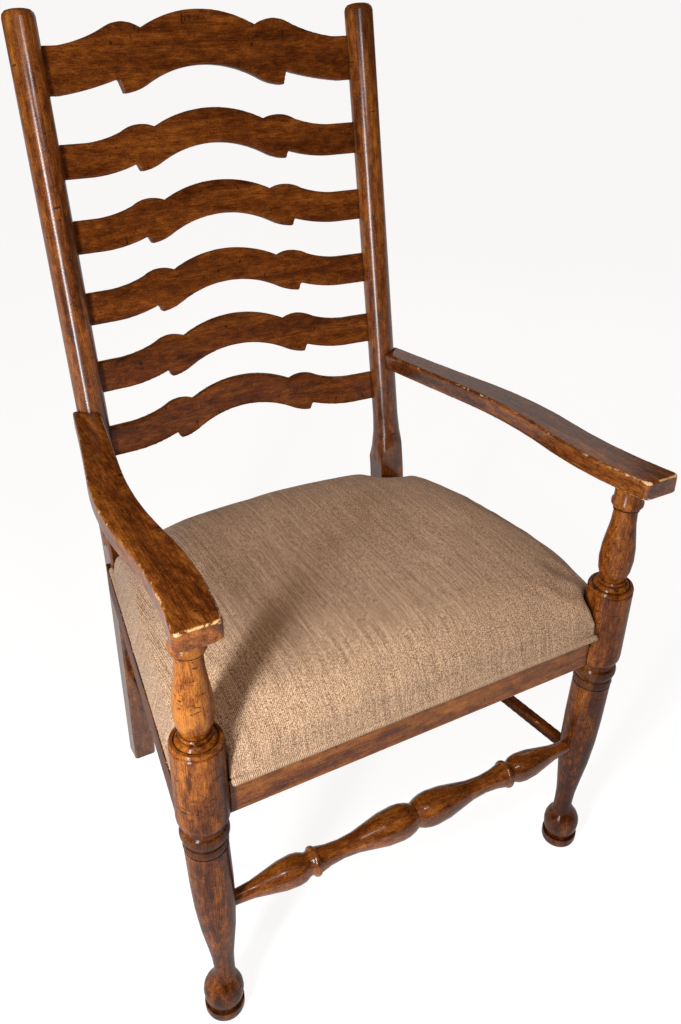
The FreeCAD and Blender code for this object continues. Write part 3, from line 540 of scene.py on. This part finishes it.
# The side rails and side stretchers are toned darker than the front and back rails: painted shade
wood_side_shaded = stained_wood("stained_wood_side", GRAIN_SPLAYED, wear=0.03, light=-0.04, gloss=0.05)
seat_fabric = fabric("seat_fabric_ribbed", ACROSS_X, SEAT_RIB_DEPTH)
front_cord_fabric = fabric("welt_fabric_front", ACROSS_X, CORD_RIB_DEPTH)
side_cord_fabric = fabric("welt_fabric_side", ACROSS_Y, CORD_RIB_DEPTH)
block_wood = plain_wood("plain_wood_blocks", BLOCK_TONES)
plywood = plain_wood("plywood_board", PLYWOOD_TONES)
zinc = steel("zinc_steel")
black_cloth = dust_cloth("black_dust_cloth")


def link(mesh, name):
    piece = bpy.data.objects.new(name, mesh)
    scene.collection.objects.link(piece)
    return piece


def welded(node):
    """Mesh copy of a CAD node with its faces joined along their edges."""
    mesh = nodes[node].data.copy()
    mesh.materials.clear()
    if "custom_normal" in mesh.attributes:
        mesh.attributes.remove(mesh.attributes["custom_normal"])
    work = bmesh.new()
    work.from_mesh(mesh)
    bmesh.ops.remove_doubles(work, verts=work.verts, dist=WELD_DISTANCE)
    bmesh.ops.recalc_face_normals(work, faces=work.faces)
    work.to_mesh(mesh)
    work.free()
    return mesh


def apply_modifiers(piece):
    graph = bpy.context.evaluated_depsgraph_get()
    mesh = bpy.data.meshes.new_from_object(piece.evaluated_get(graph))
    piece.modifiers.clear()
    piece.data = mesh


def remeshed(piece, voxel, smoothing):
    """Even mesh with softened edges."""
    remesh = piece.modifiers.new("Remesh", "REMESH")
    remesh.mode = "VOXEL"
    remesh.voxel_size = voxel
    remesh.use_smooth_shade = True
    smooth = piece.modifiers.new("Smooth", "SMOOTH")
    smooth.iterations = smoothing
    apply_modifiers(piece)
    piece.data.shade_smooth()


def paint(piece, material):
    piece.data.materials.clear()
    piece.data.materials.append(material)


def finish_piece(piece, material, slot, *replaced):
    paint(piece, material)
    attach(piece, "root")
    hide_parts(*replaced)


def add_bead(mesh, axis, bead):
    """Full round ring joined to a turned piece's mesh; axis moves the piece's turning axis from Z."""
    work = bmesh.new()
    work.from_mesh(mesh)
    rings = []
    for step in range(BEAD_STEPS):
        angle = 2 * math.pi * step / BEAD_STEPS
        ring = []
        for turn in range(BEAD_TURNS):
            tilt = 2 * math.pi * turn / BEAD_TURNS
            out = bead.radius + bead.reach * math.cos(tilt)
            along = bead.place + bead.half_width * math.sin(tilt)
            point = Vector((out * math.cos(angle), out * math.sin(angle), along))
            ring.append(work.verts.new(axis @ point))
        rings.append(ring)
    for index, ring in enumerate(rings):
        last = rings[index - 1]
        for turn in range(BEAD_TURNS):
            work.faces.new((last[turn - 1], ring[turn - 1], ring[turn], last[turn]))
    work.to_mesh(mesh)
    work.free()


def wooden(node, material, axis=None, beads=()):
    """Leg, post or turned stretcher: the CAD form with joined faces, smooth shading and any beads."""
    piece = link(welded(node), node + "_wood")
    for bead in beads:
        add_bead(piece.data, axis, bead)
    piece.data.shade_smooth()
    piece.data.set_sharp_from_angle(angle=SMOOTH_ANGLE)
    finish_piece(piece, material, "stained_wood", node)


def softened(node, material, voxel, smoothing):
    """Sawn or shaped piece with hand-softened edges."""
    piece = link(welded(node), node + "_wood")
    remeshed(piece, voxel, smoothing)
    finish_piece(piece, material, "stained_wood", node)


def dress_frame():
    """The visible wood."""
    for side, leg_wood, arm_wood, x in (("left", wood_left_leg, wood_left_arm, -LEG_X),
                                        ("right", wood_right_leg, wood_right_arm_shaded, LEG_X)):
        wooden(side + "_front_leg", leg_wood, Matrix.Translation((x, LEG_Y, 0)), LEG_BEADS)
        wooden(side + "_back_post", wood_post)
        softened(side + "_arm", arm_wood, ARM_VOXEL, ARM_SMOOTHING)
        softened(side + "_seat_rail", wood_side_shaded, BAR_VOXEL, BAR_SMOOTHING)
        softened(side + "_stretcher", wood_side_shaded, BAR_VOXEL, BAR_SMOOTHING)
    for node in ("front_seat_rail", "back_seat_rail", "rear_stretcher"):
        softened(node, wood_across, BAR_VOXEL, BAR_SMOOTHING)
    stretcher_axis = Matrix.Translation((0, LEG_Y, STRETCHER_HEIGHT)) @ Matrix.Rotation(QUARTER, 4, "Y")
    wooden("front_stretcher", wood_stretcher, stretcher_axis, STRETCHER_BEADS)
    for node in ["ladder_slat_%d" % number for number in range(1, LADDER_SLATS + 1)] + ["crest_slat"]:
        softened(node, wood_slat, SLAT_VOXEL, SLAT_SMOOTHING)


def dress_inside():
    """CAD nodes that keep their own shape."""
    for node, material in (("arm_dowels", block_wood), ("seat_board", plywood),
                           ("corner_block_screws", zinc), ("seat_screws", zinc)):
        paint(nodes[node], material)
    for side in ("left", "right"):
        for end in ("front", "rear"):
            paint(nodes["%s_%s_corner_block" % (side, end)], block_wood)


def corner_rounds():
    """Upright rounds that the cushion's corners clear: middle and radius in plan."""
    for side in (-1, 1):
        yield Vector((side * LEG_X, LEG_Y)), DRUM_RADIUS
        yield Vector((side * NOTCH_X, NOTCH_Y)), NOTCH_RADIUS


def cushion_blank(bottom):
    """Closed form of the foam and its cover without hollows, apart from its notched corners."""
    hull = bmesh.new()
    for node in ("seat_cover", "seat_foam"):
        hull.from_mesh(nodes[node].data)
    bmesh.ops.delete(hull, geom=hull.edges[:], context="EDGES_FACES")
    for x, y, z in FULL_POINTS:
        hull.verts.new((x, y, z))
        hull.verts.new((-x, y, z))
    made = bmesh.ops.convex_hull(hull, input=hull.verts[:])
    bmesh.ops.delete(hull, geom=made["geom_interior"], context="VERTS")
    mesh = bpy.data.meshes.new("cushion")
    hull.to_mesh(mesh)
    hull.free()
    piece = link(mesh, "seat_cushion")
    cutters = []
    for middle, radius in corner_rounds():
        round_form = bmesh.new()
        place = Matrix.Translation((middle.x, middle.y, bottom))
        bmesh.ops.create_cone(round_form, cap_ends=True, segments=ROUND_STEPS, radius1=radius,
                              radius2=radius, depth=ROUND_DEPTH, matrix=place)
        cutter_mesh = bpy.data.meshes.new("cutter")
        round_form.to_mesh(cutter_mesh)
        round_form.free()
        cutters.append(link(cutter_mesh, "cutter"))
        cut = piece.modifiers.new("Notch", "BOOLEAN")
        cut.operation = "DIFFERENCE"
        cut.object = cutters[-1]
    apply_modifiers(piece)
    for cutter in cutters:
        bpy.data.objects.remove(cutter)
    return piece


def plumped(piece, held_top):
    """Points of the piece after its fabric has swelled over the filling."""
    held = piece.vertex_groups.new(name="held")
    held.add([v.index for v in piece.data.vertices if v.co.z < held_top], 1.0, "REPLACE")
    cloth = piece.modifiers.new("Cloth", "CLOTH")
    settings = cloth.settings
    settings.quality = CLOTH_QUALITY
    settings.use_pressure = True
    settings.uniform_pressure_force = CUSHION_PRESSURE
    settings.effector_weights.gravity = 0.0
    settings.vertex_group_mass = "held"
    cloth.point_cache.frame_start = 1
    cloth.point_cache.frame_end = CUSHION_FRAMES
    for number in range(1, CUSHION_FRAMES + 1):
        scene.frame_set(number)
    graph = bpy.context.evaluated_depsgraph_get()
    swelled = piece.evaluated_get(graph).to_mesh()
    points = [v.co.copy() for v in swelled.vertices]
    piece.modifiers.clear()
    scene.frame_set(1)
    return points


def plump(piece, bottom):
    """Swell the cushion as its fabric does, up to the cap, and calm it above the held edge."""
    for vertex, point in zip(piece.data.vertices, plumped(piece, bottom + HELD_HEIGHT)):
        move = point - vertex.co
        if move.length > CUSHION_CAP:
            move *= CUSHION_CAP / move.length
        vertex.co += move
    calm = piece.modifiers.new("Smooth", "SMOOTH")
    calm.iterations = CALM_STEPS
    calm.vertex_group = "held"
    calm.invert_vertex_group = True
    apply_modifiers(piece)


def swell_lip(piece, bottom):
    """Fuller roll of fabric just above the welt."""
    for vertex in piece.data.vertices:
        share = 1 - abs(vertex.co.z - bottom - LIP_HEIGHT) / LIP_REACH
        if share > 0:
            vertex.co.x += vertex.normal.x * LIP_SWELL * share
            vertex.co.y += vertex.normal.y * LIP_SWELL * share


def recess_underside(piece, bottom):
    """Lift the underside where the dust cover lies."""
    opening = BVHTree.FromObject(nodes["dust_cover"], bpy.context.evaluated_depsgraph_get())
    up = Vector((0, 0, 1))
    for vertex in piece.data.vertices:
        under = Vector((vertex.co.x, vertex.co.y, bottom - UNDER_SEAT))
        if vertex.co.z < bottom + RECESS_RISE and opening.ray_cast(under, up)[0]:
            vertex.co.z = bottom + RECESS_RISE


def press_corners(piece):
    """Keep the cushion out of the corner rounds, and draw it close to the drums."""
    for vertex in piece.data.vertices:
        for middle, radius in corner_rounds():
            out = vertex.co.xy - middle
            gap = max(out.length - radius, 0)
            if radius == DRUM_RADIUS and gap < PRESS_REACH:
                gap = PRESS_REACH * (gap / PRESS_REACH) ** PRESS_POWER
            vertex.co.xy = middle + out * ((radius + gap) / out.length)


def make_cushion():
    """Plump slip seat that stands for the cover and the foam."""
    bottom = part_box("seat_cover")[0].z
    piece = cushion_blank(bottom)
    remeshed(piece, CUSHION_VOXEL, CUSHION_SMOOTHING)
    plump(piece, bottom)
    swell_lip(piece, bottom)
    recess_underside(piece, bottom)
    press_corners(piece)
    divide = piece.modifiers.new("Subdivision", "SUBSURF")
    divide.levels = 1
    divide.render_levels = 1
    apply_modifiers(piece)
    piece.data.shade_smooth()
    finish_piece(piece, seat_fabric, "seat_fabric", "seat_cover", "seat_foam")


def make_welts():
    """Covered cords along the cushion's bottom edge."""
    for node, material in (("front_welt", front_cord_fabric), ("rear_welt", front_cord_fabric),
                           ("left_welt", side_cord_fabric), ("right_welt", side_cord_fabric)):
        piece = link(welded(node), node + "_cord")
        remeshed(piece, CORD_VOXEL, CORD_SMOOTHING)
        finish_piece(piece, material, "welt_fabric", node)


def make_dust_cover():
    """Flat sheet under the seat board, cut to the opening of the cover's return."""
    work = bmesh.new()
    work.from_mesh(welded("dust_cover"))
    others = [face for face in work.faces if face.normal.z >= DOWNWARD]
    bmesh.ops.delete(work, geom=others, context="FACES")
    area = sum(face.calc_area() for face in work.faces)
    mesh = bpy.data.meshes.new("dust_sheet")
    work.to_mesh(mesh)
    work.free()
    piece = link(mesh, "dust_sheet")
    finish_piece(piece, black_cloth, "dust_cloth", "dust_cover")


def make_floor():
    """White floor that keeps the object's shadow."""
    half = FLOOR_SIZE / 2
    corners = [(-half, -half, 0), (half, -half, 0), (half, half, 0), (-half, half, 0)]
    mesh = bpy.data.meshes.new("floor")
    mesh.from_pydata(corners, [], [(0, 1, 2, 3)])
    floor = link(mesh, "floor")
    make = Shader("floor_white")
    tree = make.tree
    rays = make.node("LightPath")
    seen = make.math("MAXIMUM", rays.outputs["Is Camera Ray"], rays.outputs["Is Glossy Ray"])
    seen = make.math("MAXIMUM", seen, rays.outputs["Is Transmission Ray"])
    plain = make.node("BsdfDiffuse")
    plain.inputs["Color"].default_value = (FLOOR_ALBEDO, FLOOR_ALBEDO, FLOOR_ALBEDO, 1)
    shade = make.node("BsdfDiffuse")
    shade.inputs["Color"].default_value = (FLOOR_SHADE, FLOOR_SHADE, FLOOR_SHADE, 1)
    glow = make.node("Emission")
    glow.inputs["Strength"].default_value = FLOOR_GLOW
    pale = make.node("AddShader")
    tree.links.new(shade.outputs[0], pale.inputs[0])
    tree.links.new(glow.outputs[0], pale.inputs[1])
    both = make.node("MixShader")
    tree.links.new(seen, both.inputs[0])
    tree.links.new(plain.outputs[0], both.inputs[1])
    tree.links.new(pale.outputs[0], both.inputs[2])
    tree.links.new(both.outputs[0], tree.nodes["Material Output"].inputs["Surface"])
    tree.nodes.remove(make.surface)
    mesh.materials.append(make.material)


def add_lamp(name, place, size, watts):
    lamp = bpy.data.lights.new(name, "AREA")
    lamp.shape = "RECTANGLE"
    lamp.size, lamp.size_y = size
    lamp.energy = watts
    holder = bpy.data.objects.new(name, lamp)
    holder.location = place
    holder.rotation_euler = (LAMP_AIM - place).to_track_quat("-Z", "Y").to_euler()
    holder.visible_camera = False
    scene.collection.objects.link(holder)


def make_light():
    world = bpy.data.worlds.new("studio")
    world.use_nodes = True
    background = world.node_tree.nodes["Background"]
    background.inputs["Color"].default_value = (*WORLD_COLOUR, 1)
    background.inputs["Strength"].default_value = WORLD_LEVEL
    scene.world = world
    add_lamp("key", KEY_PLACE, KEY_SIZE, KEY_WATTS)
    add_lamp("fill", FILL_PLACE, FILL_SIZE, FILL_WATTS)
    add_lamp("window", WINDOW_PLACE, WINDOW_SIZE, WINDOW_WATTS)


def make_camera():
    lens = bpy.data.cameras.new("camera")
    lens.sensor_width = CAMERA_SENSOR_MM
    lens.lens = CAMERA_LENS_MM
    lens.clip_end = FLOOR_SIZE
    camera = bpy.data.objects.new("camera", lens)
    back = -CAMERA_FORWARD.normalized()
    right = (CAMERA_RIGHT - back * CAMERA_RIGHT.dot(back)).normalized()
    turn = Matrix((right, back.cross(right), back)).transposed()
    camera.matrix_world = Matrix.Translation(CAMERA_PLACE) @ turn.to_4x4()
    scene.collection.objects.link(camera)
    scene.camera = camera


dress_frame()
dress_inside()
make_cushion()
make_welts()
make_dust_cover()
make_floor()
make_light()
make_camera()
scene.view_settings.view_transform = "Standard"
